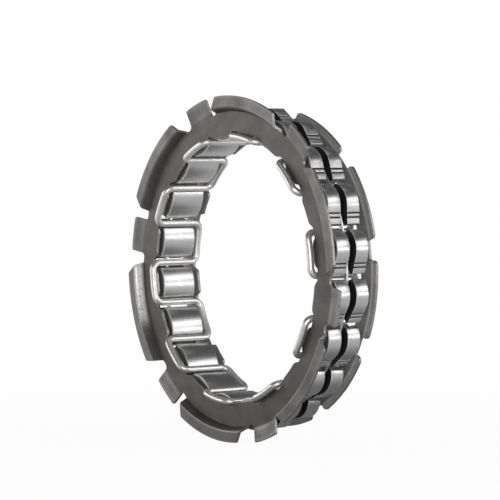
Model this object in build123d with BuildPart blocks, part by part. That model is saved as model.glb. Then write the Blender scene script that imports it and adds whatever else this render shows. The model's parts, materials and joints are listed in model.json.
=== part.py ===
from build123d import *
from math import asin, atan, atan2, copysign, cos, degrees, hypot, radians, sin, sqrt, tan
import os

# Sprag clutch, standing upright with its axis along Y and its flanged side towards -Y.
# Lengths are millimetres. Angles run counterclockwise from +X, as seen from the flanged side.
# Heights along the axis count from the middle of the sprags, towards the flanged side.

# Races between which the clutch works
inner_race_r = 33.0
race_gap = 8.33

# Sprags
sprag_count = 20
first_sprag_angle = 8.5
sprag_length = 9.9
head_gap = 1.4
head_gap_depth = 2.0
head_lean = 0.2
head_cam_r = 5.5
head_crest_lead = 0.8
flank_angle = 25
edge_depth = 0.9
foot_cam_r = 8.0
foot_preload = 0.03
foot_wire_clearance = 0.32
waist_depth = 0.1
waist_drop = 0.7
corner_r = 0.3
end_chamfer = 0.15
slot_width = 2.05
flank_groove_from_nose = (1.65, 2.7)
flank_groove_width = 0.34
flank_groove_depth = 0.28

# Retaining hoop that lies in the sprags' slots
hoop_thickness = 0.5
hoop_width = 1.2
hoop_depth = 2.0
hoop_side_clearance = 0.2
hoop_floor_clearance = 0.85

# Meander spring
wire_d = 1.75
wire_race_clearance = 0.1
wire_bend_r = 2.0
front_loop_clearance = 0.2
back_loop_clearance = 0.67

# Sheet of both side rings, their inner tabs and the recesses for the spring's loops
sheet = 0.75
inner_tab_clearance = 1.0
front_recess_depth = 2.5
front_recess_corner_r = 0.8
front_tab_corner_r = 1.4
front_tab_wire_clearance = 0.35
front_loop_tab_clearance = 0.72
back_recess_depth = 1.6
back_recess_corner_r = 0.8
back_tab_corner_r = 1.0
back_tab_wire_clearance = 1.35

# Front side ring, with its flange of long lips and small tabs
front_clearance = 0.9
lip_count = 6
first_small_tab_angle = 49.7
long_lip_reach = 2.87
long_lip_half_angle = 16.3
long_lip_rise = 2.2
riser_inset = 0.88
riser_run = 0.9
riser_bend_r = 0.45
small_tab_reach = 3.37
small_tab_half = 4.55
small_tab_bend_r = 2.0
small_tab_tilt = 11
notch_inset = 1.43
notch_width = 2.4
notch_corner_r = 1.1
lip_corner_r = 0.5

# Back side ring, small enough to pass through the outer race
back_clearance = 1.8
back_lip_clearance = 0.23
back_lip_half_angle = 14.2
back_gap_depth = 2.0
back_crease_inset = 1.8
back_step = 0.3
back_step_run = 0.5
back_bend_r = 0.5
back_lip_corner_r = 1.2
back_gap_corner_r = 0.6

# Radii and heights that follow from those above
pitch = 360 / sprag_count
half_pitch_sine = sin(radians(pitch / 2))
loop_count = sprag_count // 2
outer_race_r = inner_race_r + race_gap
pivot_r = inner_race_r + race_gap / 2
front_face_height = sprag_length / 2 + front_clearance + sheet
back_face_depth = sprag_length / 2 + back_clearance + sheet
wire_r = inner_race_r + wire_race_clearance + wire_d / 2
run_r = hypot(wire_r, wire_bend_r)
front_loop_height = front_face_height + front_loop_clearance + wire_d / 2
back_loop_height = sprag_length / 2 + back_loop_clearance + wire_d / 2
hoop_outer_r = outer_race_r - hoop_depth
hoop_inner_r = hoop_outer_r - hoop_width
inner_tab_r = inner_race_r + inner_tab_clearance
front_recess_floor_r = inner_tab_r + front_recess_depth
back_recess_floor_r = inner_tab_r + back_recess_depth
long_lip_r = outer_race_r + long_lip_reach
small_tab_r = outer_race_r + small_tab_reach
lip_end_r = max(long_lip_r, small_tab_r) + sheet
riser_r = outer_race_r - riser_inset
notch_floor_r = outer_race_r - notch_inset
back_lip_r = outer_race_r - back_lip_clearance
back_gap_r = back_lip_r - back_gap_depth
back_crease_r = back_lip_r - back_crease_inset

os.makedirs("parts", exist_ok=True)

clutch_axis = Axis((0, 0, 0), (0, -1, 0))


def polar(radius, angle):
    return (radius * cos(radians(angle)), radius * sin(radians(angle)))


def face_plane(height):
    """Plane across the axis, seen from the flanged side, with x to the right and y up."""
    return Plane.XZ.offset(height)


def section_plane(angle):
    """Plane through the axis, with x along the radius and y towards the flanged side."""
    across, up = polar(1, angle)
    return Plane(origin=(0, 0, 0), x_dir=(across, 0, up), z_dir=(up, 0, -across))


def sprag_plane(angle):
    """Plane at a sprag's pivot, with x outwards and y counterclockwise round the clutch."""
    across, up = polar(1, angle)
    return Plane(
        origin=(pivot_r * across, 0, pivot_r * up),
        x_dir=(across, 0, up),
        z_dir=(0, -1, 0),
    )


# Sprag, the piece that takes the most skill: a strut with a long cam at each end.
# Its head cam runs out into a straight flank with two fine grooves, and its foot cam rolls on
# the inner race. In the section x is the height over the pivot and y the way round the clutch.
head_room = 2 * (outer_race_r - head_gap_depth) * half_pitch_sine - head_gap
head_lead_half = head_room / 2 - head_lean
head_trail_half = head_room / 2 + head_lean
foot_half = run_r * half_pitch_sine - wire_d / 2 - foot_wire_clearance
waist_half = foot_half - waist_depth
slot_floor_h = hoop_inner_r - hoop_floor_clearance - pivot_r
head_centre = (race_gap / 2 - head_cam_r, head_crest_lead)
foot_centre_h = foot_cam_r - race_gap / 2 - foot_preload
head_lead_angle = degrees(asin((head_lead_half - head_crest_lead) / head_cam_r))
foot_half_angle = degrees(asin(foot_half / foot_cam_r))
lead_edge_h = head_centre[0] + head_cam_r * cos(radians(head_lead_angle)) - edge_depth

with BuildPart() as sprag_form:
    with BuildSketch() as sprag_section:
        with BuildLine():
            head_cam = CenterArc(head_centre, head_cam_r, -flank_angle, flank_angle + head_lead_angle)
            flank_run = ((head_cam @ 0).Y + head_trail_half) / cos(radians(flank_angle))
            flank = PolarLine(head_cam @ 0, flank_run, 270 - flank_angle)
            nose = Line(flank @ 1, flank @ 1 - Vector(edge_depth, 0))
            foot_cam = CenterArc((foot_centre_h, 0), foot_cam_r, 180 - foot_half_angle, 2 * foot_half_angle)
            ThreePointArc(nose @ 1, (-waist_drop, -waist_half), foot_cam @ 1)
            ThreePointArc(foot_cam @ 0, (-waist_drop, waist_half), (lead_edge_h, head_lead_half))
            Line((lead_edge_h, head_lead_half), head_cam @ 1)
        make_face()
        fillet([v for v in sprag_section.vertices() if abs(v.Y) > waist_half], corner_r)
    extrude(amount=sprag_length / 2, both=True)
    ends = sprag_form.faces().filter_by(Plane.XY)
    chamfer(ends.edges(), end_chamfer)
    for from_nose in flank_groove_from_nose:
        groove_at = flank @ 1 + (flank % 1) * -from_nose
        groove_plane = Plane(groove_at, x_dir=(flank % 1), z_dir=(0, 0, 1))
        with BuildSketch(groove_plane):
            Rectangle(flank_groove_width, 2 * flank_groove_depth)
        extrude(amount=sprag_length, both=True, mode=Mode.SUBTRACT)
    with BuildSketch():
        with Locations((slot_floor_h, 0)):
            Rectangle(race_gap, 2 * head_room, align=(Align.MIN, Align.CENTER))
    extrude(amount=slot_width / 2, both=True, mode=Mode.SUBTRACT)

for number in range(1, sprag_count + 1):
    with BuildPart(sprag_plane(first_sprag_angle + (number - 1) * pitch)) as sprag:
        add(sprag_form.part)
    sprag.part.label = f"sprag_{number:02d}"
    export_step(sprag.part, f"parts/sprag_{number:02d}.step")


# Retaining hoop: a flat ring beside the front wall of every slot.
hoop_front = slot_width / 2 - hoop_side_clearance
with BuildPart() as retaining_hoop:
    with BuildSketch(face_plane(hoop_front)):
        Circle(hoop_outer_r)
        Circle(hoop_inner_r, mode=Mode.SUBTRACT)
    extrude(amount=-hoop_thickness)
retaining_hoop.part.label = "retaining_hoop"
export_step(retaining_hoop.part, "parts/retaining_hoop.step")


# Meander spring: one closed wire that crosses between the rings in every gap between sprags.
# It turns over one side in an arc about the axis, then over the other side. Its quarter bends
# lie in the tangent plane, so that the path has no kink.
bend_angle = degrees(atan(wire_bend_r / wire_r))


def quarter_bend(angle, run_end, turn):
    """Bend from the arc that ends at an angle to the run on its clockwise or other side."""
    side = copysign(1, run_end)
    centre = Vector(*polar(wire_r, angle), run_end)
    upwards = Vector(0, 0, side * wire_bend_r)
    onwards = Vector(*polar(turn * wire_bend_r, angle + 90), 0)
    return ThreePointArc(centre + upwards, centre + (upwards + onwards) / sqrt(2), centre + onwards)


with BuildPart() as spring_unit:
    with BuildLine():
        for side, loop_height in ((1, front_loop_height), (-1, back_loop_height)):
            run_end = side * (loop_height - wire_bend_r)
            first_run = -side * pitch / 2
            last_run = first_run + pitch
            arc_middle = Vector(*polar(wire_r, first_run + pitch / 2), side * loop_height)
            Line((*polar(run_r, first_run), 0), (*polar(run_r, first_run), run_end))
            rise = quarter_bend(first_run + bend_angle, run_end, -1)
            drop = quarter_bend(last_run - bend_angle, run_end, 1)
            ThreePointArc(rise @ 0, arc_middle, drop @ 0)
            Line((*polar(run_r, last_run), run_end), (*polar(run_r, last_run), 0))
    with BuildSketch():
        with Locations(polar(run_r, -pitch / 2)):
            Circle(wire_d / 2)
    sweep()

with BuildPart(face_plane(0)) as meander_spring:
    with PolarLocations(0, loop_count, start_angle=first_sprag_angle):
        add(spring_unit.part)
meander_spring.part.label = "meander_spring"
export_step(meander_spring.part, "parts/meander_spring.step")


def sector(radius, half_angle):
    """Slice of a disc, centred on +X."""
    with BuildSketch(mode=Mode.PRIVATE) as disc_slice:
        with BuildLine():
            rim = CenterArc((0, 0), radius, -half_angle, 2 * half_angle)
            Line((0, 0), rim @ 0)
            Line(rim @ 1, (0, 0))
        make_face()
    return disc_slice.sketch


def around(vertices, low_r, high_r):
    """The vertices between two radii."""
    return [v for v in vertices if low_r < hypot(v.X, v.Y) < high_r]


# Inner edge of both rings: tabs between the spring's runs, and recesses for its loops.
loop_half = run_r * half_pitch_sine + wire_d / 2


def recess(floor_r, tab_wire_clearance, recess_corner_r, loop_tab_half=0):
    """Recess that clears a loop of the spring, centred on +X, with or without a tab inside the loop."""
    width = 2 * (loop_half + tab_wire_clearance)
    with BuildSketch(mode=Mode.PRIVATE) as slice_of_disc:
        Circle(floor_r)
        Rectangle(floor_r, width, align=(Align.MIN, Align.CENTER), mode=Mode.INTERSECT)
        if loop_tab_half:
            Rectangle(2 * floor_r, 2 * loop_tab_half, mode=Mode.SUBTRACT)
        fillet(around(slice_of_disc.vertices(), inner_tab_r, 2 * floor_r), recess_corner_r)
    return slice_of_disc.sketch


def cut_inner_edge(outline, first_recess, recess_slice, tab_corner_r):
    """Cut the round opening, the recesses and the rounded tab tips into a ring's outline."""
    Circle(inner_tab_r, mode=Mode.SUBTRACT)
    with PolarLocations(0, loop_count, start_angle=first_recess):
        add(recess_slice, mode=Mode.SUBTRACT)
    tips = around(outline.vertices(), inner_tab_r - corner_r, inner_tab_r + corner_r)
    fillet(tips, tab_corner_r)


# Front side ring: a flat ring whose rim is set forward in six long lips, with a small
# flared tab between each two of them and a round-bottomed notch on both sides of the tab.
front_mid = front_face_height - sheet / 2
lip_step = 360 / lip_count
riser_top_r = riser_r + riser_run
lip_mid = front_mid + long_lip_rise
tab_bend_start_r = notch_floor_r + notch_corner_r
tab_end = front_mid + (lip_end_r - tab_bend_start_r) * tan(radians(small_tab_tilt))
notch_middle = small_tab_half + notch_width / 2
notch_floor_x = sqrt(notch_floor_r ** 2 - notch_middle ** 2)
notch_angle = degrees(atan2(notch_middle, notch_floor_x))

with BuildSketch() as notch_pair:
    with BuildLine():
        tab_foot = Vector(notch_floor_x, small_tab_half)
        lip_foot = tab_foot + Vector(0, notch_width)
        lip_corner = Vector(*polar(long_lip_r, lip_step / 2 - long_lip_half_angle))
        lip_outside = lip_foot + (lip_corner - lip_foot) * 2
        Polyline(tab_foot, lip_foot, lip_outside, (lip_outside.X, small_tab_half), close=True)
    make_face()
    fillet(notch_pair.vertices().group_by(Axis.X)[0], notch_corner_r)
    mirror(about=Plane.XZ)

with BuildSketch() as front_outline:
    Circle(long_lip_r)
    with PolarLocations(0, lip_count, start_angle=first_small_tab_angle):
        add(sector(small_tab_r, notch_angle))
    with PolarLocations(0, lip_count, start_angle=first_small_tab_angle):
        add(notch_pair.sketch, mode=Mode.SUBTRACT)
    lip_corners = around(front_outline.vertices(), (notch_floor_r + long_lip_r) / 2, lip_end_r)
    fillet(lip_corners, lip_corner_r)
    front_recess = recess(
        front_recess_floor_r,
        front_tab_wire_clearance,
        front_recess_corner_r,
        loop_half - wire_d - front_loop_tab_clearance,
    )
    cut_inner_edge(front_outline, first_sprag_angle, front_recess, front_tab_corner_r)

with BuildPart() as front_side_ring:
    with BuildSketch(section_plane(0)):
        with BuildLine():
            FilletPolyline(
                (inner_race_r, front_mid),
                (riser_r, front_mid),
                (riser_top_r, lip_mid),
                (lip_end_r, lip_mid),
                radius=riser_bend_r,
            )
        trace(line_width=sheet)
    revolve(axis=clutch_axis)
    with BuildSketch(face_plane(0)):
        with PolarLocations(0, lip_count, start_angle=first_small_tab_angle):
            add(sector(2 * lip_end_r, notch_angle))
        Circle(notch_floor_r, mode=Mode.SUBTRACT)
    extrude(amount=2 * lip_mid, mode=Mode.SUBTRACT)
    for tab in range(lip_count):
        with BuildSketch(section_plane(first_small_tab_angle + tab * lip_step - notch_angle)):
            with BuildLine():
                FilletPolyline(
                    (front_recess_floor_r + sheet, front_mid),
                    (tab_bend_start_r, front_mid),
                    (lip_end_r, tab_end),
                    radius=small_tab_bend_r,
                )
            trace(line_width=sheet)
        revolve(axis=clutch_axis, revolution_arc=2 * notch_angle)
    with BuildSketch(face_plane(0)):
        add(front_outline.sketch)
    extrude(amount=2 * lip_mid, mode=Mode.INTERSECT)
front_side_ring.part.label = "front_side_ring"
export_step(front_side_ring.part, "parts/front_side_ring.step")


# Back side ring: ten short lips, stepped back a little, that stay inside the outer race.
back_mid = sheet / 2 - back_face_depth
with BuildSketch() as back_outline:
    Circle(back_gap_r)
    with PolarLocations(0, loop_count, start_angle=first_sprag_angle + pitch):
        add(sector(back_lip_r, back_lip_half_angle))
    lip_ends = around(back_outline.vertices(), (back_gap_r + back_lip_r) / 2, lip_end_r)
    fillet(lip_ends, back_lip_corner_r)
    gap_corners = around(back_outline.vertices(), back_gap_r - corner_r, back_gap_r + corner_r)
    fillet(gap_corners, back_gap_corner_r)
    back_recess = recess(back_recess_floor_r, back_tab_wire_clearance, back_recess_corner_r)
    cut_inner_edge(back_outline, first_sprag_angle + pitch, back_recess, back_tab_corner_r)

with BuildPart() as back_side_ring:
    with BuildSketch(section_plane(0)):
        with BuildLine():
            FilletPolyline(
                (inner_race_r, back_mid),
                (back_crease_r, back_mid),
                (back_crease_r + back_step_run, back_mid - back_step),
                (outer_race_r, back_mid - back_step),
                radius=back_bend_r,
            )
        trace(line_width=sheet)
    revolve(axis=clutch_axis)
    with BuildSketch(face_plane(0)):
        add(back_outline.sketch)
    extrude(amount=-2 * back_face_depth, mode=Mode.INTERSECT)
back_side_ring.part.label = "back_side_ring"
export_step(back_side_ring.part, "parts/back_side_ring.step")
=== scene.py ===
"""Sprag clutch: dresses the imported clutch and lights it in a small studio."""

import json
from math import asin, atan, atan2, cos, hypot, pi, radians, sin, tan

import bmesh
import bpy
import numpy as np
from bpy.props import FloatProperty, FloatVectorProperty, IntProperty, PointerProperty
from mathutils import Matrix, Vector
from mathutils.geometry import delaunay_2d_cdt


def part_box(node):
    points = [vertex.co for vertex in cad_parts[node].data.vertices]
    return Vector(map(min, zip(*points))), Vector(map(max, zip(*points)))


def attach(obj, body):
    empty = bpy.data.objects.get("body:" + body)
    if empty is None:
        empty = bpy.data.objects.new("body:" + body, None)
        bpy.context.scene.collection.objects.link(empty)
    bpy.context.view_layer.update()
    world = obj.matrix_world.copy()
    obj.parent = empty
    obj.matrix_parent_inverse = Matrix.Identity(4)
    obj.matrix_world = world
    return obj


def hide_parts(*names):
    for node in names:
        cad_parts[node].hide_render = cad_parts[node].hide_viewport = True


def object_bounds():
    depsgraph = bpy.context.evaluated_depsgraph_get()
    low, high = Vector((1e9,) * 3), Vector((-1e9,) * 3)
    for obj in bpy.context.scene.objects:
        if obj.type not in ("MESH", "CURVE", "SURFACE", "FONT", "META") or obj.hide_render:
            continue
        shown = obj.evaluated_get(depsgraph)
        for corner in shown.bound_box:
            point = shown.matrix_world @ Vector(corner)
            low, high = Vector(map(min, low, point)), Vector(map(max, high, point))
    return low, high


bl_info = {
    "name": "Sprag clutch",
    "version": (1, 0, 0),
    "blender": (4, 5, 0),
    "location": "View3D > Sidebar > Clutch",
    "description": "Dresses a sprag clutch and lights it in a small studio",
    "category": "Object",
}

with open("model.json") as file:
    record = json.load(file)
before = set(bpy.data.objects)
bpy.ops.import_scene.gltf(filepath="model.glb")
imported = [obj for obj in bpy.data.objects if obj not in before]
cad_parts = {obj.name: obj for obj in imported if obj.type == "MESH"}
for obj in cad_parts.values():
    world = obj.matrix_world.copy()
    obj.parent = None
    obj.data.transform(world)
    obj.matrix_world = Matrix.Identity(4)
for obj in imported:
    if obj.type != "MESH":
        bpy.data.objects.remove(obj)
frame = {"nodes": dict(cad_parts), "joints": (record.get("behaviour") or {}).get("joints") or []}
CAD_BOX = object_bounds()
MM = 0.001

# The sheets' profiles run past both rims, from the first radius to the second.
PROFILE_START, PROFILE_END = 30 * MM, 46 * MM
# Radii at which the rings' outlines and plans are unrolled, to round their corners and cut them up.
INNER_UNROLL, FRONT_UNROLL, BACK_UNROLL, PLAN_UNROLL = 35.2 * MM, 42 * MM, 40 * MM, 38 * MM
PLAN_COLUMNS = 480
OUTLINE_PIECE = 0.6 * MM
# Edges that fold by more than this are sharp.
SPRAG_SHARP, SHEET_SHARP, HOOP_SHARP = radians(35), radians(50), radians(30)
# Edges of a sprag that lie deeper than this run round its ends.
END_DEPTH = 4.9 * MM

# Noises as scale, detail and roughness.
CLOUD = (170, 4, 0.6)
GRAIN = (2600, 3, 0.65)
# How deep the bump of a finish goes.
FINE_BUMP, FAINT_BUMP = 0.03 * MM, 0.02 * MM

CAGE = "cage"
SPRAGS = sorted(name for name in frame["nodes"] if name.startswith("sprag_"))
PIVOTS = {joint["child"]: joint["pos_m"] for joint in frame["joints"]}
PITCH = 2 * pi / len(SPRAGS)
FIRST_PIVOT = PIVOTS[SPRAGS[0]]
FIRST_ANGLE = atan2(FIRST_PIVOT[2], FIRST_PIVOT[0])


def length(name, description, default):
    """A size in metres."""
    return FloatProperty(name=name, description=description, default=default, unit="LENGTH", precision=5)


def degrees(name, description, default):
    """An angle, given in degrees."""
    return FloatProperty(name=name, description=description, default=radians(default), subtype="ANGLE")


def colour(name, description, default):
    """A colour, as linear red, green and blue."""
    return FloatVectorProperty(
        name=name, description=description, default=default, subtype="COLOR", min=0, max=1
    )


def share(name, description, default):
    """A number from 0 to 1."""
    return FloatProperty(name=name, description=description, default=default, min=0, max=1)


class ClutchSizes(bpy.types.PropertyGroup):
    """Sizes of the pieces that this file builds, and of the broken edges."""

    wire_diameter: length("Wire diameter", "Thickness of the spring's round wire", 1.75 * MM)
    wire_radius: length("Wire radius", "From the axis to the middle of the wire's loops", 33.975 * MM)
    wire_bend: length("Wire bend", "Radius of the quarter bends at both ends of a loop", 2.0 * MM)
    front_loop: length("Front loop", "From the sprags' middle to the middle of a front loop", 7.675 * MM)
    back_loop: length("Back loop", "From the sprags' middle to the middle of a back loop", 6.495 * MM)
    bend_steps: IntProperty(name="Bend steps", description="Straight steps in a bend", default=12)
    wire_sides: IntProperty(name="Wire sides", description="Sides of the wire's section", default=20)
    hoop_corner: length("Hoop corner", "Rounding of the hoop's section", 0.08 * MM)
    ring_edge: length("Ring edge", "Rounding of the rings' sheared edges", 0.10 * MM)
    sheet: length("Sheet", "Thickness of both rings", 0.75 * MM)
    front_height: length("Front height", "From the sprags' middle to the front ring's face", 6.6 * MM)
    tab_radius: length("Inner tab radius", "From the axis to the inner tabs' tips", 34.0 * MM)
    front_recess_floor: length("Front recess floor", "Floors of the recesses in the front ring", 35.15 * MM)
    front_recess_half: length("Front recess half", "Half the width of a front recess", 6.548 * MM)
    loop_tab_half: length("Loop tab half", "Half the width of a front tab inside a loop", 3.728 * MM)
    recess_flare: length("Recess flare", "How far a front recess widens each way at its mouth", 0.95 * MM)
    back_recess_floor: length("Back recess floor", "Floors of the back ring's recesses", 35.6 * MM)
    back_recess_half: length("Back recess half", "Half the width of a back recess", 7.548 * MM)
    lips: IntProperty(name="Lips", description="Number of long lips, and of small tabs", default=6)
    tab_turn: degrees("Tab turn", "From the second sprag to the first small tab", 23.2)
    lip_radius: length("Lip radius", "From the axis to the long lips' ends", 44.2 * MM)
    lip_half_angle: degrees("Lip half angle", "Half of what a long lip spans", 16.3)
    lip_rise: length("Lip rise", "How far the long lips stand forward of the ring", 2.2 * MM)
    riser_radius: length("Riser radius", "Where the risers of the long lips begin", 40.45 * MM)
    riser_run: length("Riser run", "How far outward a riser leans", 0.9 * MM)
    small_tab_radius: length("Small tab radius", "From the axis to the small tabs' ends", 44.7 * MM)
    small_tab_half: length("Small tab half", "Half the width of a small tab", 4.55 * MM)
    notch_floor: length("Notch floor", "From the axis straight out to a notch's floor", 39.48 * MM)
    notch_width: length("Notch width", "Width of the notches' floors", 2.4 * MM)
    back_depth: length("Back depth", "From the sprags' middle to the back ring's face", 7.5 * MM)
    back_crease: length("Back crease", "Radius of the back ring's crease", 39.3 * MM)
    back_step: length("Back step", "How far the back ring's lips are set back", 0.3 * MM)
    back_lip_radius: length("Back lip radius", "From the axis to the back lips' ends", 41.1 * MM)
    back_lip_half_angle: degrees("Back lip half angle", "Half of what a back lip spans", 14.2)
    back_gap_radius: length("Back gap radius", "Radius of the back ring between its lips", 39.1 * MM)
    sprag_edge: length("Sprag edge", "Rounding of the sprags' sharp edges", 0.10 * MM)
    end_edge: length("End edge", "Rounding of the edges round the sprags' ends", 0.20 * MM)


class ClutchColours(bpy.types.PropertyGroup):
    """Colours of the finishes."""

    ring: colour("Ring", "Dark sheet of the front ring", (0.15, 0.145, 0.14))
    # Painted light: the front lips and tabs are painted lighter than the face, as if they caught more light.
    # The back ring's mottling uses this colour too.
    lip: colour("Lip", "Lighter sheet of the front lips", (0.24, 0.235, 0.23))
    # Painted highlight: a bright colour where one long lip's bend would glint in the light.
    painted_glint: colour("Glint", "Where one lip's bend is rubbed bright", (0.92, 0.91, 0.89))
    # Painted light: the back ring is the same sheet as the front ring, painted paler to stand in for light
    # it does not get.
    back: colour("Back ring", "Paler sheet of the back ring", (0.34, 0.335, 0.325))
    # Painted light: the back ring's outer strip, painted paler still, as if its lips caught more light.
    back_lip: colour("Back lip", "Outer strip of the back ring", (0.60, 0.595, 0.58))
    stain: colour("Stain", "Darker clouds in the sheet", (0.10, 0.092, 0.088))
    edge: colour("Edge", "Bright sheared edges of the sheet", (0.40, 0.39, 0.38))
    sprag: colour("Sprag", "Ground steel of the sprags", (0.66, 0.66, 0.66))
    sprag_line: colour("Sprag line", "Darker grinding lines", (0.40, 0.40, 0.40))
    flank: colour("Flank", "Duller flanks of the sprags", (0.46, 0.46, 0.46))
    # Painted shade: the waists, where neighbouring sprags shade each other, are painted dark.
    waist: colour("Waist", "Dark waists of the sprags", (0.20, 0.20, 0.20))
    sprag_end: colour("Sprag end", "End faces of the sprags", (0.42, 0.42, 0.42))
    # Painted highlight: the rims round the ends and along the slot are painted bright, as if they glinted.
    rim: colour("Rim", "Bright rims of the sprags' ends and slots", (0.95, 0.95, 0.95))
    # Painted shade: the grooves and the slot are painted nearly black, where they lie in shade.
    groove: colour("Groove", "Shading in the sprags' grooves and slots", (0.03, 0.03, 0.03))
    wire: colour("Wire", "Drawn wire of the spring", (0.88, 0.87, 0.85))
    wire_mark: colour("Wire mark", "Faint marks on the wire", (0.50, 0.49, 0.47))
    hoop: colour("Hoop", "Strip of the hoop", (0.62, 0.61, 0.60))
    hoop_mark: colour("Hoop mark", "Marks on the hoop", (0.40, 0.39, 0.38))


class StudioSettings(bpy.types.PropertyGroup):
    """Camera, and the light of the room."""

    azimuth: degrees("Azimuth", "Camera's turn round the clutch", 53.24)
    elevation: degrees("Elevation", "Camera's height over the axis", 2.43)
    distance: length("Distance", "From the camera to the clutch", 0.5893)
    aim_right: length("Aim right", "How far right of the clutch's middle the camera looks", -0.62 * MM)
    aim_up: length("Aim up", "How far over the clutch's middle the camera looks", 4.69 * MM)
    lens: FloatProperty(name="Lens", description="Focal length", default=165.1, unit="CAMERA")
    world_light: share("World light", "Soft light from all round", 0.25)
    studio_grey: share("Studio grey", "What polished steel shows of the room", 0.20)


class Value:
    """A shader socket that works in a Python expression."""

    def __init__(self, finish, socket):
        self.finish = finish
        self.socket = socket

    def maths(self, operation, *terms):
        """Add a Math node that works on the terms."""
        return self.finish.node("ShaderNodeMath", {"operation": operation}, dict(enumerate(terms)))

    def __add__(self, other):
        return self.maths("ADD", self, other)

    def __radd__(self, other):
        return self.maths("ADD", other, self)

    def __sub__(self, other):
        return self.maths("SUBTRACT", self, other)

    def __rsub__(self, other):
        return self.maths("SUBTRACT", other, self)

    def __mul__(self, other):
        return self.maths("MULTIPLY", self, other)

    def __rmul__(self, other):
        return self.maths("MULTIPLY", other, self)

    def __pow__(self, other):
        return self.maths("POWER", self, other)

    def __neg__(self):
        return self * -1

    def __abs__(self):
        return self.maths("ABSOLUTE", self)


class Finish:
    """Node tree of a material or a world, and the one method that adds its nodes."""

    def __init__(self, owner):
        owner.use_nodes = True
        self.owner = owner
        self.tree = owner.node_tree
        self.tree.nodes.clear()

    def node(self, kind, settings=None, inputs=None, output=0):
        """Add a node, set it up, fill its sockets, and give one of its outputs."""
        made = self.tree.nodes.new(kind)
        for name, setting in (settings or {}).items():
            setattr(made, name, setting)
        for key, given in (inputs or {}).items():
            if isinstance(given, Value):
                self.tree.links.new(given.socket, made.inputs[key])
            else:
                made.inputs[key].default_value = given
        return Value(self, made.outputs[output]) if made.outputs else None

    def blend(self, factor, first, second):
        """Mix two colours."""
        return self.node(
            "ShaderNodeMix", {"data_type": "RGBA"}, {0: factor, 6: rgba(first), 7: rgba(second)}, 2
        )

    def band(self, value, low, high, softness):
        """1 between two limits, falling off softly on both sides."""
        rise = self.ramp(value, low - softness, low)
        fall = self.ramp(value, high, high + softness)
        return rise * (1 - fall)

    def ramp(self, value, low, high):
        """0 below the first limit and 1 above the second, smooth between."""
        return self.node(
            "ShaderNodeMapRange", {"interpolation_type": "SMOOTHSTEP"}, {0: value, 1: low, 2: high}
        )

    def noise(self, vector, scale, detail, roughness):
        """Fine random grain, from 0 to 1."""
        return self.node(
            "ShaderNodeTexNoise", None,
            {"Vector": vector, "Scale": scale, "Detail": detail, "Roughness": roughness},
        )

    def stretched(self, vector, scale):
        """Coordinates multiplied by one number along each axis."""
        return self.node("ShaderNodeVectorMath", {"operation": "MULTIPLY"}, {0: vector, 1: scale})

    def parts(self, vector):
        """The three numbers of a vector."""
        made = self.tree.nodes.new("ShaderNodeSeparateXYZ")
        self.tree.links.new(vector.socket, made.inputs[0])
        return [Value(self, out) for out in made.outputs]

    def place(self):
        """Object coordinates."""
        return self.node("ShaderNodeTexCoord", output="Object")

    def surface(self, base, metallic, roughness, bump, strength, depth):
        """Finish with a principled surface, and give the material."""
        normal = self.node(
            "ShaderNodeBump", None, {"Strength": strength, "Distance": depth, "Height": bump}
        )
        shader = self.node(
            "ShaderNodeBsdfPrincipled", None,
            {"Base Color": base, "Metallic": metallic, "Roughness": roughness, "Normal": normal},
        )
        self.node("ShaderNodeOutputMaterial", None, {"Surface": shader})
        return self.owner


def rgba(given):
    """A colour with its alpha, or a link as it is."""
    return given if isinstance(given, Value) else (*given[:3], 1)


def new_finish(name):
    """An empty finish for a new material."""
    return Finish(bpy.data.materials.new(name))


def ring_finish(colours):
    """Dark sheet steel with a mottled grain, painted light that makes the lips lighter, burnished bends and
    a painted highlight on one bend.
    """
    finish = new_finish("ring_sheet")
    place = finish.place()
    x, _, z = finish.parts(place)
    radius = (x * x + z * z) ** 0.5
    cloud = finish.noise(place, *CLOUD)
    grain = finish.noise(place, *GRAIN)
    speck = finish.noise(place, 1500, 2, 0.8)
    # Painted light: the lips and tabs are painted lighter than the face, as if they caught more light.
    lip = finish.ramp(radius, 40.2 * MM, 41.2 * MM)
    bend = finish.band(radius, 41.1 * MM, 41.7 * MM, 0.3 * MM)
    rim = finish.ramp(radius, 43.6 * MM, 44.0 * MM)
    tone = finish.blend(lip, colours.ring, colours.lip)
    mottled = finish.blend(finish.ramp(cloud, 0.35, 0.75) * 0.6, tone, colours.stain)
    # Painted highlight: a bright speckled patch on the risers of the lower left lips, where they would glint
    # in the light.
    on_riser = finish.band(radius, 40.6 * MM, 41.3 * MM, 0.5 * MM)
    below_middle = finish.band(z, -13.5 * MM, -2.0 * MM, 4.5 * MM)
    at_left = finish.ramp(-x, 10 * MM, 30 * MM)
    painted_glint = on_riser * below_middle * at_left * finish.ramp(speck, 0.20, 0.52)
    with_glint = finish.blend(painted_glint * 0.95, mottled, colours.painted_glint)
    rimmed = finish.blend(rim * 0.35, with_glint, colours.edge)
    base = finish.blend(finish.ramp(grain, 0.55, 0.8) * 0.30, rimmed, colours.edge)
    roughness = 0.40 + cloud * 0.14 + grain * 0.08 - bend * 0.10
    return finish.surface(base, 0.85, roughness, grain, 0.35, FINE_BUMP)


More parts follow.
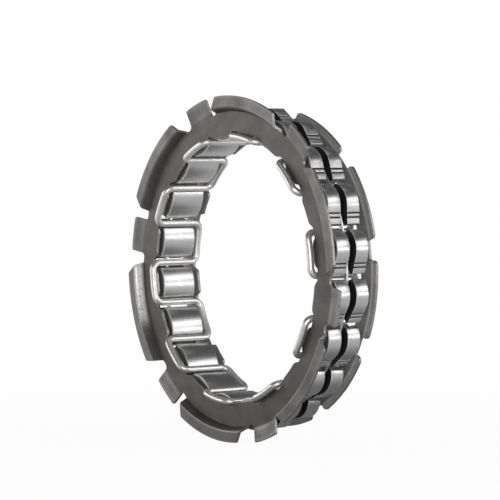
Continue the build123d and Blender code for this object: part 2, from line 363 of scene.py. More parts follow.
def back_ring_finish(colours):
    """Duller sheet of the back ring, painted paler than the front ring as painted light, since it sees
    little of the room; its outer strip is painted paler still.
    """
    finish = new_finish("back_ring_sheet")
    place = finish.place()
    cloud = finish.noise(place, *CLOUD)
    grain = finish.noise(place, *GRAIN)
    x, _, z = finish.parts(place)
    # Painted light: the outer strip is painted paler, as if the lips caught more light.
    lip = finish.ramp((x * x + z * z) ** 0.5, 39.2 * MM, 39.7 * MM)
    tone = finish.blend(lip * 0.7, colours.back, colours.back_lip)
    mottled = finish.blend(finish.ramp(cloud, 0.35, 0.75) * 0.5, tone, colours.lip)
    base = finish.blend(finish.ramp(grain, 0.55, 0.8) * 0.25, mottled, colours.edge)
    return finish.surface(base, 0.45, 0.50 + cloud * 0.14, grain, 0.35, FINE_BUMP)


def edge_finish(colours):
    """Bright sheared edge of the sheet."""
    finish = new_finish("ring_edge")
    grain = finish.noise(finish.place(), 1800, 3, 0.6)
    base = finish.blend(finish.ramp(grain, 0.4, 0.75) * 0.6, colours.edge, colours.ring)
    return finish.surface(base, 0.9, 0.34 + grain * 0.15, grain, 0.3, FAINT_BUMP)


def sprag_finish(colours):
    """Ground steel: polished cams, a grained flank, painted shade on the waists, in the grooves and in the
    slot, and painted highlights on the rims.
    """
    finish = new_finish("sprag_steel")
    section = finish.node("ShaderNodeAttribute", {"attribute_name": "section"}, output="Vector")
    # All three are in millimetres from the pivot, and so are the limits below.
    height, round_way, along = finish.parts(section)
    depth = abs(along)
    lines = finish.noise(finish.stretched(section, (4, 4, 0.3)), 1.6, 5, 0.7)
    speck = finish.noise(finish.stretched(section, (6, 6, 3)), 1.5, 3, 0.7)
    foot = finish.ramp(-height, 1.2, 1.6)
    flank = finish.ramp(-round_way, 1.3, 1.8) * (1 - foot)
    # Painted shade: the waists, where neighbouring sprags shade each other, are painted dark.
    waist = finish.ramp(height, -2.3, -1.9) * (1 - finish.ramp(height, 1.0, 1.5))
    # The flank starts at the nose and leans by 25 degrees.
    over_nose, past_nose = height - 1.725, round_way + 5.653
    rise, run = 0.4226, 0.9063
    from_nose = over_nose * rise + past_nose * run
    over_flank = over_nose * run - past_nose * rise
    # Painted shade: the two grooves across the flank are painted nearly black.
    first = finish.band(from_nose, 1.50, 1.80, 0.04)
    second = finish.band(from_nose, 2.55, 2.85, 0.04)
    groove = (first + second) * finish.band(over_flank, -0.34, -0.06, 0.05)
    head = finish.ramp(height, 0.0, 0.2)
    # Painted shade: the deep slot is painted nearly black.
    in_slot = (1 - finish.ramp(depth, 1.03, 1.08)) * head
    end = finish.ramp(depth, 4.92, 4.945)
    # Painted highlight: bright rims round the ends and along the slot.
    rim = finish.band(depth, 4.78, 4.92, 0.02) + finish.band(depth, 1.06, 1.16, 0.02) * head
    base = finish.blend(finish.ramp(lines, 0.35, 0.75) * 0.30, colours.sprag, colours.sprag_line)
    flanked = finish.blend(flank * 0.30, base, colours.flank)
    waist_shaded = finish.blend(waist * 0.6, flanked, colours.waist)
    ended = finish.blend(end * 0.8, waist_shaded, colours.sprag_end)
    rimmed = finish.blend(rim, ended, colours.rim)
    slotted = finish.blend(in_slot * 0.9, rimmed, colours.groove)
    groove_shaded = finish.blend(groove, slotted, colours.groove)
    dull = flank * 0.16 + waist * 0.20 + in_slot * 0.2 + end * 0.25 + rim * 0.25
    roughness = 0.22 + dull + lines * 0.14
    return finish.surface(groove_shaded, 0.95, roughness, lines * 0.7 + speck * 0.3, 0.30, FINE_BUMP)


def wire_finish(colours):
    """Bright drawn wire with faint marks."""
    finish = new_finish("spring_wire")
    place = finish.place()
    marks = finish.noise(place, 700, 3, 0.6)
    cloud = finish.noise(place, 150, 2, 0.5)
    base = finish.blend(finish.ramp(marks, 0.45, 0.75) * 0.25, colours.wire, colours.wire_mark)
    return finish.surface(base, 0.92, 0.32 + cloud * 0.10 + marks * 0.06, marks, 0.05, FAINT_BUMP)


def hoop_finish(colours):
    """Satin strip of the hoop."""
    finish = new_finish("hoop_strip")
    marks = finish.noise(finish.place(), 1400, 3, 0.6)
    base = finish.blend(finish.ramp(marks, 0.4, 0.75) * 0.3, colours.hoop, colours.hoop_mark)
    return finish.surface(base, 0.9, 0.28 + marks * 0.12, marks, 0.1, FAINT_BUMP)


def finished(obj, body, node):
    """Let a piece ride on its body in place of its CAD node."""
    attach(obj, body)
    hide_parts(node)


def plain_mesh(obj, name):
    """Turn an object and its modifiers into a plain mesh object, and remove the first."""
    evaluated = obj.evaluated_get(bpy.context.evaluated_depsgraph_get())
    mesh = bpy.data.meshes.new_from_object(evaluated)
    bpy.data.objects.remove(obj)
    return mesh_object(mesh, name)


def mesh_object(mesh, name):
    """Put a mesh in the scene under a name."""
    mesh.name = name
    obj = bpy.data.objects.new(name, mesh)
    bpy.context.scene.collection.objects.link(obj)
    return obj


def softened_sprag(node, name, material, sizes):
    """A copy of a CAD sprag with its edges broken and smooth normals between them."""
    work = bmesh.new()
    work.from_mesh(frame["nodes"][node].data)
    bmesh.ops.remove_doubles(work, verts=work.verts, dist=1e-7)
    bmesh.ops.dissolve_limit(
        work, angle_limit=radians(0.3), verts=work.verts, edges=work.edges, use_dissolve_boundaries=False
    )
    weights = work.edges.layers.float.new("bevel_weight_edge")
    for edge in work.edges:
        if len(edge.link_faces) == 2 and edge.calc_face_angle() > SPRAG_SHARP:
            at_end = min(abs(vertex.co.y) for vertex in edge.verts) > END_DEPTH
            edge[weights] = 1 if at_end else sizes.sprag_edge / sizes.end_edge
    mesh = bpy.data.meshes.new(name)
    work.to_mesh(mesh)
    work.free()
    mesh.materials.append(material)
    mesh.polygons.foreach_set("material_index", [0] * len(mesh.polygons))
    obj = mesh_object(mesh, name + "_work")
    bevel = obj.modifiers.new("edges", "BEVEL")
    bevel.width = sizes.end_edge
    bevel.segments = 2
    bevel.limit_method = "WEIGHT"
    bevel.use_clamp_overlap = False
    obj = plain_mesh(obj, name)
    obj.data.shade_smooth()
    obj.data.set_sharp_from_angle(angle=SPRAG_SHARP)
    return obj


def rounded(corners, scale, steps=6):
    """Round the corners of a path of (angle, radius, rounding), and split it into short pieces."""
    path = [(Vector((angle * scale, radius)), rounding) for angle, radius, rounding in corners]
    ends = [path[0][0]]
    for (before, _), (corner, rounding), (after, _) in zip(path, path[1:], path[2:]):
        back = (before - corner).normalized()
        on = (after - corner).normalized()
        half = back.angle(on) / 2
        centre = corner + (back + on).normalized() * (rounding / sin(half))
        first = corner + back * (rounding / tan(half)) - centre
        last = corner + on * (rounding / tan(half)) - centre
        turn = first.angle_signed(last)
        for step in range(steps + 1):
            angle = -turn * step / steps
            ends.append(centre + Matrix.Rotation(angle, 2) @ first)
    ends.append(path[-1][0])
    points = []
    for start, end in zip(ends, ends[1:]):
        pieces = max(1, round((end - start).length / OUTLINE_PIECE))
        points += [start.lerp(end, piece / pieces) for piece in range(pieces)]
    points.append(ends[-1])
    return [(point.x / scale, point.y) for point in points]


def bent_line(points, bend, steps=7):
    """A line of (radius, height) points with round bends, as (radius, height, slope) samples."""
    samples = []
    slopes = [atan2(end[1] - start[1], end[0] - start[0]) for start, end in zip(points, points[1:])]
    samples.append((*points[0], slopes[0]))
    for (r, h), low, high in zip(points[1:-1], slopes, slopes[1:]):
        side = 1 if high > low else -1
        reach = bend * tan(abs(high - low) / 2)
        start = Vector((r - reach * cos(low), h - reach * sin(low)))
        centre = start + Vector((-sin(low), cos(low))) * bend * side
        for step in range(steps + 1):
            slope = low + (high - low) * step / steps
            at = centre - Vector((-sin(slope), cos(slope))) * bend * side
            samples.append((at.x, at.y, slope))
    samples.append((*points[-1], slopes[-1]))
    return samples


def both_faces(samples, sheet):
    """The front face and the back face of a bent sheet, each as radii and heights."""
    faces = []
    for side in (1, -1):
        reach = side * sheet / 2
        faces.append(
            ([r - reach * sin(slope) for r, h, slope in samples],
             [h + reach * cos(slope) for r, h, slope in samples])
        )
    return faces


def inset(path, scale, amount):
    """Move a path of (angle, radius) to its left, or with a negative amount to its right."""
    points = np.array(path) * (scale, 1)
    ahead = np.gradient(points, axis=0)
    ahead /= np.hypot(ahead[:, 0], ahead[:, 1])[:, None]
    moved = points + np.stack((-ahead[:, 1], ahead[:, 0]), axis=1) * amount
    return [(u / scale, v) for u, v in moved]


def rim_line(corners, scale, amount):
    """A ring's rounded outline, moved in from the rim to make room for its rounding."""
    return inset(rounded(corners, scale), scale, amount)


def plan_of_sheet(inner, outer, rows, start):
    """Triangles between two paths round the axis, cut along circles, as a flat mesh."""
    scale = PLAN_UNROLL
    loop = [Vector((angle * scale, radius)) for angle, radius in inner + outer[::-1]]
    points = list(loop)
    lines = []
    for row in rows:
        base = len(points)
        turns = [start + 2 * pi * column / PLAN_COLUMNS for column in range(PLAN_COLUMNS + 1)]
        points += [Vector((turn * scale, row)) for turn in turns]
        lines += [(base + column, base + column + 1) for column in range(PLAN_COLUMNS)]
    made, _, faces, _, _, owners = delaunay_2d_cdt(points, lines, [list(range(len(loop)))], 0, 1e-8)
    work = bmesh.new()
    verts = [work.verts.new((v.y * cos(v.x / scale), v.y * sin(v.x / scale), 0)) for v in made]
    for face, owner in zip(faces, owners):
        if owner:
            work.faces.new([verts[i] for i in face])
    bmesh.ops.delete(work, geom=[v for v in work.verts if not v.link_faces], context="VERTS")
    bmesh.ops.remove_doubles(work, verts=work.verts, dist=2e-7)
    return work


def outward(vertex):
    """Direction out of the plan at a vertex of its rim."""
    total = Vector((0, 0, 0))
    for edge in vertex.link_edges:
        if edge.is_boundary:
            ends = edge.verts[1].co - edge.verts[0].co
            side = Vector((ends.y, -ends.x, 0)).normalized()
            centre = edge.link_faces[0].calc_center_median()
            if side.dot(centre - edge.verts[0].co) > 0:
                side.negate()
            total += side
    return total.normalized()


def thick_sheet(name, plan, heights, edge, materials, steps=3):
    """A sheet with rounded rims from its plan. heights gives both faces at a point of the plan."""
    work = bmesh.new()
    front, back = {}, {}
    for vertex in plan.verts:
        high, low = heights(vertex.co)
        front[vertex] = work.verts.new((vertex.co.x, -high, vertex.co.y))
        back[vertex] = work.verts.new((vertex.co.x, -low, vertex.co.y))
    for face in plan.faces:
        for side in (front, back):
            work.faces.new([side[v] for v in face.verts])
    walls = {}
    for vertex in plan.verts:
        if vertex.is_boundary:
            out = outward(vertex)
            high, low = heights(vertex.co)
            chain = [front[vertex]]
            turns = [(pi / 2 * step / steps, 1) for step in range(1, steps + 1)]
            turns += [(pi / 2 * step / steps, -1) for step in range(steps, 0, -1)]
            for turn, side in turns:
                at = vertex.co + out * edge * sin(turn)
                level = (high if side == 1 else low) - side * edge * (1 - cos(turn))
                chain.append(work.verts.new((at.x, -level, at.y)))
            walls[vertex] = chain + [back[vertex]]
    for rim in plan.edges:
        if rim.is_boundary:
            first, second = walls[rim.verts[0]], walls[rim.verts[1]]
            for a, b, c, d in zip(first, first[1:], second[1:], second):
                work.faces.new((a, b, c, d)).material_index = 1
    bmesh.ops.recalc_face_normals(work, faces=work.faces)
    for face in work.faces:
        face.smooth = True
    mesh = bpy.data.meshes.new(name)
    work.to_mesh(mesh)
    work.free()
    plan.free()
    for material in materials:
        mesh.materials.append(material)
    obj = mesh_object(mesh, name + "_work")
    mesh.set_sharp_from_angle(angle=SHEET_SHARP)
    even = obj.modifiers.new("normals", "WEIGHTED_NORMAL")
    even.keep_sharp = True
    return plain_mesh(obj, name)


def node_tree(name, inputs):
    """An empty Geometry Nodes tree with named inputs."""
    tree = bpy.data.node_groups.new(name, "GeometryNodeTree")
    tree.interface.new_socket("Geometry", in_out="INPUT", socket_type="NodeSocketGeometry")
    for label, kind in inputs.items():
        tree.interface.new_socket(label, in_out="INPUT", socket_type=kind)
    tree.interface.new_socket("Geometry", in_out="OUTPUT", socket_type="NodeSocketGeometry")
    start = tree.nodes.new("NodeGroupInput")
    end = tree.nodes.new("NodeGroupOutput")
    return tree, start, end


def fill(tree, socket, given):
    """Link a socket to another, or set its value."""
    if isinstance(given, bpy.types.NodeSocket):
        tree.links.new(given, socket)
    else:
        socket.default_value = given


def joined(tree, kind, **inputs):
    """Add a Geometry Nodes node. An input is a socket to link or a value; _ stands for a space."""
    made = tree.nodes.new(kind)
    for key, given in inputs.items():
        fill(tree, made.inputs[key.replace("_", " ")], given)
    return made


def worked_out(tree, operation, first, second):
    """Add a Math node to a Geometry Nodes tree, and give its result."""
    made = tree.nodes.new("ShaderNodeMath")
    made.operation = operation
    fill(tree, made.inputs[0], first)
    fill(tree, made.inputs[1], second)
    return made.outputs[0]


def closed_out(tree, geometry, material, end):
    """End a tree in Realize Instances and Set Material."""
    real = joined(tree, "GeometryNodeRealizeInstances", Geometry=geometry)
    painted = joined(tree, "GeometryNodeSetMaterial", Geometry=real.outputs[0], Material=material)
    tree.links.new(painted.outputs[0], end.inputs[0])


def set_input(modifier, label, value):
    """Set a modifier's input by its socket's identifier."""
    for item in modifier.node_group.interface.items_tree:
        if item.item_type == "SOCKET" and item.in_out == "INPUT" and item.name == label:
            modifier[item.identifier] = value
            return
    raise RuntimeError(f"the tree has no input named {label}")


def wire_tree():
    """Repeat one front and back loop round the axis, close the path and thicken it to a wire."""
    tree, start, end = node_tree(
        "Meander wire",
        {
            "Loops": "NodeSocketInt",
            "Wire Diameter": "NodeSocketFloat",
            "Wire Sides": "NodeSocketInt",
            "Material": "NodeSocketMaterial",
        },
    )
    given = start.outputs
    line = joined(tree, "GeometryNodeMeshLine", Count=given["Loops"], Offset=(0, 0, 0))
    index = joined(tree, "GeometryNodeInputIndex")
    step = worked_out(tree, "DIVIDE", 2 * pi, given["Loops"])
    turn = worked_out(tree, "MULTIPLY", index.outputs[0], step)
    spin = joined(tree, "ShaderNodeCombineXYZ", Y=turn)
    copies = joined(
        tree, "GeometryNodeInstanceOnPoints",
        Points=line.outputs[0], Instance=given["Geometry"], Rotation=spin.outputs[0],
    )
    real = joined(tree, "GeometryNodeRealizeInstances", Geometry=copies.outputs[0])
    merged = joined(tree, "GeometryNodeMergeByDistance", Geometry=real.outputs[0], Distance=1e-6)
    path = joined(tree, "GeometryNodeMeshToCurve", Mesh=merged.outputs[0])
    half = worked_out(tree, "DIVIDE", given["Wire Diameter"], 2)
    section = joined(
        tree, "GeometryNodeCurvePrimitiveCircle", Resolution=given["Wire Sides"], Radius=half
    )
    wire = joined(
        tree, "GeometryNodeCurveToMesh", Curve=path.outputs[0], Profile_Curve=section.outputs[0]
    )
    smooth = joined(tree, "GeometryNodeSetShadeSmooth", Geometry=wire.outputs[0])
    closed_out(tree, smooth.outputs[0], given["Material"], end)
    return tree


def hoop_tree():
    """Carry a rounded rectangle once round the axis."""
    tree, start, end = node_tree(
        "Flat hoop",
        {
            "Radius": "NodeSocketFloat",
            "Width": "NodeSocketFloat",
            "Thickness": "NodeSocketFloat",
            "Corner": "NodeSocketFloat",
            "Height": "NodeSocketFloat",
            "Material": "NodeSocketMaterial",
        },
    )
    given = start.outputs
    circle = joined(tree, "GeometryNodeCurvePrimitiveCircle", Resolution=360, Radius=given["Radius"])
    strip = joined(
        tree, "GeometryNodeCurvePrimitiveQuadrilateral", Width=given["Width"], Height=given["Thickness"]
    )
    profile = joined(
        tree, "GeometryNodeFilletCurve", Curve=strip.outputs[0], Radius=given["Corner"]
    )
    hoop = joined(
        tree, "GeometryNodeCurveToMesh", Curve=circle.outputs[0], Profile_Curve=profile.outputs[0]
    )
    place = joined(tree, "ShaderNodeCombineXYZ", Y=given["Height"])
    stood = joined(
        tree, "GeometryNodeTransform", Geometry=hoop.outputs[0],
        Translation=place.outputs[0], Rotation=(pi / 2, 0, 0),
    )
    smooth = joined(tree, "GeometryNodeSetShadeSmooth", Geometry=stood.outputs[0])
    closed_out(tree, smooth.outputs[0], given["Material"], end)
    return tree


def unit_path(sizes):
    """One front loop and one back loop as a chain of points, from the middle of a run to the next."""
    radius, bend = sizes.wire_radius, sizes.wire_bend
    bend_angle = atan(bend / radius)
    run_radius = hypot(radius, bend)
    steps = sizes.bend_steps
    points = []

    def add(angle, reach, along, depth):
        out = Vector((cos(angle), 0, sin(angle)))
        across = Vector((-sin(angle), 0, cos(angle)))
        points.append(out * reach + across * along + Vector((0, -depth, 0)))

    for side, height in ((1, sizes.front_loop), (-1, sizes.back_loop)):
        run_height = height - bend
        first = FIRST_ANGLE - side * PITCH / 2
        last = first + PITCH
        add(first, run_radius, 0, 0)
        for step in range(steps + 1):
            lean = pi / 2 * step / steps
            add(first + bend_angle, radius, -bend * cos(lean), side * (run_height + bend * sin(lean)))
        for step in range(1, steps):
            angle = first + bend_angle + (PITCH - 2 * bend_angle) * step / steps
            add(angle, radius, 0, side * height)
        for step in range(steps + 1):
            lean = pi / 2 * step / steps
            add(last - bend_angle, radius, bend * sin(lean), side * (run_height + bend * cos(lean)))
    add(FIRST_ANGLE + 1.5 * PITCH, run_radius, 0, 0)
    mesh = bpy.data.meshes.new("unit_path")
    mesh.from_pydata(points, [(i, i + 1) for i in range(len(points) - 1)], [])
    return mesh


class ClutchOperator(bpy.types.Operator):
    """Shared settings of the clutch's operators."""

    bl_options = {"REGISTER", "UNDO"}

    @property
    def sizes(self):
        return bpy.context.scene.clutch_sizes

    @property
    def colours(self):
        return bpy.context.scene.clutch_colours


class CLUTCH_OT_rings(ClutchOperator):
    """Make the front ring with its flange, and the smaller back ring."""

    bl_idname = "clutch.rings"
    bl_label = "Side rings"

    def execute(self, context):
        sizes = self.sizes
        edge = edge_finish(self.colours)
        rings = (
            ("front_side_ring", self.front_plan, ring_finish(self.colours)),
            ("back_side_ring", self.back_plan, back_ring_finish(self.colours)),
        )
        for node, make, sheet in rings:
            plan, heights = make(sizes)
            ring = thick_sheet(node + "_sheet", plan, heights, sizes.ring_edge, [sheet, edge])
            finished(ring, CAGE, node)
        return {"FINISHED"}

    def inner_path(self, sizes, start, first_recess, recess):
        """Tab tips and recesses, from one tab's middle round to the same."""
        tip, floor = sizes.tab_radius, recess["floor"]
        tip_corner, floor_corner = recess["corners"]
        flare = recess["flare"]
        side = [
            (asin((recess["half"] + flare) / tip), tip, tip_corner),
            (asin(recess["half"] / floor), floor, floor_corner),
        ]
        if "tab_half" in recess:
            side.append((asin(recess["tab_half"] / floor), floor, floor_corner))
            side.append((asin((recess["tab_half"] - flare) / tip), tip, tip_corner))
        corners = [(start, tip, 0)]
        for turn in range(len(SPRAGS) // 2):
            middle = first_recess + 2 * PITCH * turn
            corners += [(middle - angle, radius, fillet) for angle, radius, fillet in side]
            corners += [(middle + angle, radius, fillet) for angle, radius, fillet in reversed(side)]
        corners.append((start + 2 * pi, tip, 0))
        return rim_line(corners, INNER_UNROLL, sizes.ring_edge)

    def front_plan(self, sizes):
        """Plan of the front ring, and the heights of its two faces at any place."""
        start = FIRST_ANGLE + PITCH
        lip_turn = 2 * pi / sizes.lips
        first_tab = start + sizes.tab_turn
        floor_x, half = sizes.notch_floor, sizes.small_tab_half
        wide = half + sizes.notch_width
        tab_tip, lip_tip = sizes.small_tab_radius, sizes.lip_radius
        lip_corner = lip_turn / 2 - sizes.lip_half_angle
        end_rounding, notch_rounding = 0.5 * MM, 1.1 * MM
        side = [
            (lip_corner, lip_tip, end_rounding),
            (atan2(wide, floor_x), hypot(floor_x, wide), notch_rounding),
            (atan2(half, floor_x), hypot(floor_x, half), notch_rounding),
            (asin(half / tab_tip), tab_tip, end_rounding),
        ]
        corners = [(start, lip_tip, 0)]
        for tab in range(sizes.lips):
            middle = first_tab + lip_turn * tab
            corners += [(middle - angle, radius, fillet) for angle, radius, fillet in side]
            corners += [(middle + angle, radius, fillet) for angle, radius, fillet in reversed(side)]
        corners.append((start + 2 * pi, lip_tip, 0))
        outer = rim_line(corners, FRONT_UNROLL, -sizes.ring_edge)
        recess = {
            "half": sizes.front_recess_half,
            "tab_half": sizes.loop_tab_half,
            "floor": sizes.front_recess_floor,
            "flare": sizes.recess_flare,
            "corners": (2.0 * MM, 0.6 * MM),
        }
        inner = self.inner_path(sizes, start, FIRST_ANGLE + 2 * PITCH, recess)
        middle = sizes.front_height - sizes.sheet / 2
        riser, lip_level = sizes.riser_radius, middle + sizes.lip_rise
        lip_bend, tab_bend = 0.45 * MM, 2 * MM
        tab_from, tab_lean = 41 * MM, radians(11)
        tab_level = middle + (PROFILE_END - tab_from) * tan(tab_lean)
        lip_line = [
            (PROFILE_START, middle),
            (riser, middle),
            (riser + sizes.riser_run, lip_level),
            (PROFILE_END, lip_level),
        ]
        tab_line = [(PROFILE_START, middle), (tab_from, middle), (PROFILE_END, tab_level)]
        lip_faces = both_faces(bent_line(lip_line, lip_bend), sizes.sheet)
        tab_faces = both_faces(bent_line(tab_line, tab_bend), sizes.sheet)
        rows = sorted(r for radii, _ in lip_faces + tab_faces for r in radii[1:-1])
        tab_reach = (atan2(wide, floor_x) + atan2(half, floor_x)) / 2

        def heights(place):
            radius = hypot(place.x, place.y)
            turn = (atan2(place.y, place.x) - first_tab + lip_turn / 2) % lip_turn - lip_turn / 2
            faces = tab_faces if abs(turn) < tab_reach else lip_faces
            return [float(np.interp(radius, *face)) for face in faces]

        return plan_of_sheet(inner, outer, rows, start), heights

    def back_plan(self, sizes):
        """Plan of the back ring, and the heights of its two faces at any place."""
        start = FIRST_ANGLE
        half = sizes.back_lip_half_angle
        lip, gap = sizes.back_lip_radius, sizes.back_gap_radius
        lip_rounding, gap_rounding = 1.2 * MM, 0.6 * MM
        corners = [(start, gap, 0)]
        for turn in range(len(SPRAGS) // 2):
            middle = FIRST_ANGLE + PITCH + 2 * PITCH * turn
            corners += [
                (middle - half, gap, gap_rounding),
                (middle - half, lip, lip_rounding),
                (middle + half, lip, lip_rounding),
                (middle + half, gap, gap_rounding),
            ]
        corners.append((start + 2 * pi, gap, 0))
        outer = rim_line(corners, BACK_UNROLL, -sizes.ring_edge)
        recess = {
            "half": sizes.back_recess_half,
            "floor": sizes.back_recess_floor,
            "flare": 0,
            "corners": (1.0 * MM, 0.8 * MM),
        }
        inner = self.inner_path(sizes, start, FIRST_ANGLE + PITCH, recess)
        middle = sizes.sheet / 2 - sizes.back_depth
        crease, lip_level = sizes.back_crease, middle - sizes.back_step
        crease_run, crease_bend = 0.5 * MM, 0.5 * MM
        line = [
            (PROFILE_START, middle),
            (crease, middle),
            (crease + crease_run, lip_level),
            (PROFILE_END, lip_level),
        ]
        faces = both_faces(bent_line(line, crease_bend), sizes.sheet)
        rows = sorted(r for radii, _ in faces for r in radii[1:-1])

        def heights(place):
            radius = hypot(place.x, place.y)
            return [float(np.interp(radius, *face)) for face in faces]

        return plan_of_sheet(inner, outer, rows, start), heights


class CLUTCH_OT_sprags(ClutchOperator):
    """Make every sprag, each with the coordinates of its own section."""

    bl_idname = "clutch.sprags"
    bl_label = "Sprags"

    def execute(self, context):
        material = sprag_finish(self.colours)
        for node in SPRAGS:
            sprag = softened_sprag(node, node + "_steel", material, self.sizes)
            self.mark_section(sprag.data, Vector(PIVOTS[node]))
            finished(sprag, node, node)
        return {"FINISHED"}

    def mark_section(self, mesh, pivot):
        """Store height over the pivot, way round and way along, in millimetres."""
        out = pivot.normalized()
        across = Vector((-out.z, 0, out.x))
        marks = mesh.attributes.new("section", "FLOAT_VECTOR", "POINT")
        for mark, vertex in zip(marks.data, mesh.vertices):
            offset = (vertex.co - pivot) / MM
            mark.vector = (offset.dot(out), offset.dot(across), -offset.y)


class CLUTCH_OT_spring(ClutchOperator):
    """Make the closed meander spring."""

    bl_idname = "clutch.spring"
    bl_label = "Meander spring"

    def execute(self, context):
        work = mesh_object(unit_path(self.sizes), "spring_path")
        wire = work.modifiers.new("wire", "NODES")
        wire.node_group = wire_tree()
        set_input(wire, "Loops", len(SPRAGS) // 2)
        set_input(wire, "Wire Diameter", self.sizes.wire_diameter)
        set_input(wire, "Wire Sides", self.sizes.wire_sides)
        set_input(wire, "Material", wire_finish(self.colours))
        spring = plain_mesh(work, "meander_spring_wire")
        finished(spring, CAGE, "meander_spring")
        return {"FINISHED"}


class CLUTCH_OT_hoop(ClutchOperator):
    """Make the flat hoop that lies in the sprags' slots."""

    bl_idname = "clutch.hoop"
    bl_label = "Retaining hoop"

    def execute(self, context):
        low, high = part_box("retaining_hoop")
        inner = min(hypot(v.co.x, v.co.z) for v in frame["nodes"]["retaining_hoop"].data.vertices)
        work = mesh_object(bpy.data.meshes.new("hoop_start"), "hoop_start")
        hoop = work.modifiers.new("hoop", "NODES")
        hoop.node_group = hoop_tree()
        set_input(hoop, "Radius", (high.x + inner) / 2)
        set_input(hoop, "Width", high.x - inner)
        set_input(hoop, "Thickness", high.y - low.y)
        set_input(hoop, "Corner", self.sizes.hoop_corner)
        set_input(hoop, "Height", (high.y + low.y) / 2)
        set_input(hoop, "Material", hoop_finish(self.colours))
        strip = plain_mesh(work, "retaining_hoop_strip")
        strip.data.set_sharp_from_angle(angle=HOOP_SHARP)
        finished(strip, CAGE, "retaining_hoop")
        return {"FINISHED"}


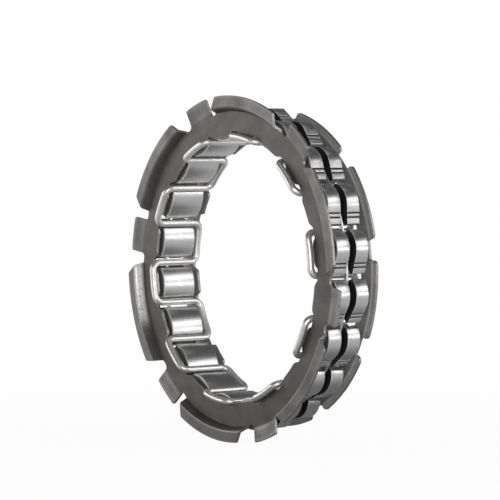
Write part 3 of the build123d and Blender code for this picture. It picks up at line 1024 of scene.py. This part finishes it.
class CLUTCH_OT_studio(ClutchOperator):
    """Set up the floor, the room, the lamps and the camera."""

    bl_idname = "clutch.studio"
    bl_label = "Studio"

    def execute(self, context):
        studio = context.scene.clutch_studio
        self.make_floor()
        self.make_room(studio)
        self.make_lamps()
        self.make_camera(studio)
        context.scene.view_settings.view_transform = "Standard"
        return {"FINISHED"}

    def make_floor(self):
        """A wide pale floor that reads as white, keeps the shadow and looks grey in polished steel."""
        reach = 6
        clearance = 0.2 * MM
        level = CAD_BOX[0][2] - clearance
        mesh = bpy.data.meshes.new("floor")
        ways = ((-1, -1), (1, -1), (1, 1), (-1, 1))
        mesh.from_pydata([(reach * x, reach * y, level) for x, y in ways], [], [(0, 1, 2, 3)])
        floor = mesh_object(mesh, "floor")
        finish = new_finish("floor")
        seen = finish.node("ShaderNodeLightPath", output="Is Camera Ray")
        glossy = finish.node("ShaderNodeLightPath", output="Is Glossy Ray")
        x, y, _ = finish.parts(finish.place())
        radius = (x * x + y * y) ** 0.5
        # Near the clutch the floor keeps a little of its own light, which holds the shadow.
        far = finish.ramp(radius, 0.05, 0.22)
        matt = finish.node("ShaderNodeBsdfDiffuse", None, {"Color": (0.82, 0.82, 0.82, 1)})
        glow = finish.node("ShaderNodeEmission", None, {"Color": (1, 1, 1, 1), "Strength": 1})
        lit = finish.node("ShaderNodeMixShader", None, {0: seen * (0.96 + far * 0.04), 1: matt, 2: glow})
        # Polished steel sees it darker right under the clutch, a painted shadow in the floor's glow.
        shade = 0.18 + finish.ramp(radius, 0.03, 0.09) * 0.40
        dark = finish.node("ShaderNodeEmission", None, {"Color": (1, 1, 1, 1), "Strength": shade})
        mixed = finish.node("ShaderNodeMixShader", None, {0: glossy, 1: lit, 2: dark})
        finish.node("ShaderNodeOutputMaterial", None, {"Surface": mixed})
        mesh.materials.append(finish.owner)

    def make_room(self, studio):
        """White behind the object, soft light all round, and a grey room, darker above, in steel."""
        world = bpy.data.worlds.new("room")
        bpy.context.scene.world = world
        finish = Finish(world)
        camera = finish.node("ShaderNodeLightPath", output="Is Camera Ray")
        glossy = finish.node("ShaderNodeLightPath", output="Is Glossy Ray")
        clear = finish.node("ShaderNodeLightPath", output="Is Transmission Ray")
        up = finish.parts(finish.node("ShaderNodeTexCoord", output="Generated"))[2]
        grey = studio.studio_grey * (1 - finish.ramp(up, 0.3, 0.8) * 0.75)
        soft = studio.world_light
        seen = camera.maths("MAXIMUM", camera, clear)
        plain = soft + glossy * (grey - soft)
        strength = plain + seen * (1 - plain)
        light = finish.node("ShaderNodeBackground", None, {"Color": (1, 1, 1, 1), "Strength": strength})
        finish.node("ShaderNodeOutputWorld", None, {"Surface": light})

    def make_lamps(self):
        """A strip and a box behind at the right, boxes at the left and by the camera, one overhead."""
        # Each has a direction from the clutch, a distance, a width and height, and its watts.
        self.lamp("right_strip", (0.80, 0.598, 0.06), 0.75, (0.60, 0.08), 0.62)
        self.lamp("right_box", (0.80, 0.598, 0.45), 1.00, (0.80, 0.30), 1.7)
        self.lamp("top_box", (0.10, 0.05, 1.0), 0.70, (0.50, 0.50), 0.35)
        self.lamp("left_box", (-0.80, -0.598, 0.05), 0.80, (0.80, 0.60), 2.2)
        self.lamp("camera_box", (0.80, -0.598, 0.10), 0.80, (0.40, 0.40), 2.4)

    def lamp(self, name, direction, distance, size, power):
        """Add a rectangular lamp that faces the clutch's middle."""
        light = bpy.data.lights.new(name, "AREA")
        light.shape = "RECTANGLE"
        light.size, light.size_y = size
        light.energy = power
        lamp = bpy.data.objects.new(name, light)
        bpy.context.scene.collection.objects.link(lamp)
        towards = Vector(direction).normalized()
        lamp.location = towards * distance
        lamp.rotation_euler = towards.to_track_quat("Z", "Y").to_euler()

    def make_camera(self, studio):
        """Look along the photograph's line of sight."""
        level = cos(studio.elevation)
        back = Vector((sin(studio.azimuth) * level, -cos(studio.azimuth) * level, sin(studio.elevation)))
        right = Vector((cos(studio.azimuth), sin(studio.azimuth), 0))
        up = back.cross(right)
        camera = bpy.data.objects.new("camera", bpy.data.cameras.new("camera"))
        bpy.context.scene.collection.objects.link(camera)
        camera.data.lens = studio.lens
        camera.data.clip_start = 0.01
        aim = right * studio.aim_right + up * studio.aim_up
        turn = Matrix((right, up, back)).transposed().to_4x4()
        camera.matrix_world = Matrix.Translation(aim + back * studio.distance) @ turn
        bpy.context.scene.camera = camera


class CLUTCH_PT_panel(bpy.types.Panel):
    """Lists the clutch's steps and settings."""

    bl_idname = "CLUTCH_PT_panel"
    bl_label = "Sprag clutch"
    bl_space_type = "VIEW_3D"
    bl_region_type = "UI"
    bl_category = "Clutch"

    def draw(self, context):
        for step in STEPS:
            self.layout.operator(step.bl_idname)
        for group in (context.scene.clutch_sizes, context.scene.clutch_colours, context.scene.clutch_studio):
            for name in group.__annotations__:
                self.layout.prop(group, name)


STEPS = (CLUTCH_OT_rings, CLUTCH_OT_sprags, CLUTCH_OT_spring, CLUTCH_OT_hoop, CLUTCH_OT_studio)
GROUPS = {"clutch_sizes": ClutchSizes, "clutch_colours": ClutchColours, "clutch_studio": StudioSettings}


def register():
    """Add the settings, the steps and the panel."""
    for group in GROUPS.values():
        bpy.utils.register_class(group)
    for name, group in GROUPS.items():
        setattr(bpy.types.Scene, name, PointerProperty(type=group))
    for step in STEPS:
        bpy.utils.register_class(step)
    bpy.utils.register_class(CLUTCH_PT_panel)


def unregister():
    """Take away what register added."""
    bpy.utils.unregister_class(CLUTCH_PT_panel)
    for step in reversed(STEPS):
        bpy.utils.unregister_class(step)
    for name, group in GROUPS.items():
        delattr(bpy.types.Scene, name)
        bpy.utils.unregister_class(group)


def main():
    """Make every piece and the studio."""
    register()
    bpy.ops.clutch.rings()
    bpy.ops.clutch.sprags()
    bpy.ops.clutch.spring()
    bpy.ops.clutch.hoop()
    bpy.ops.clutch.studio()


if __name__ == "__main__":
    main()
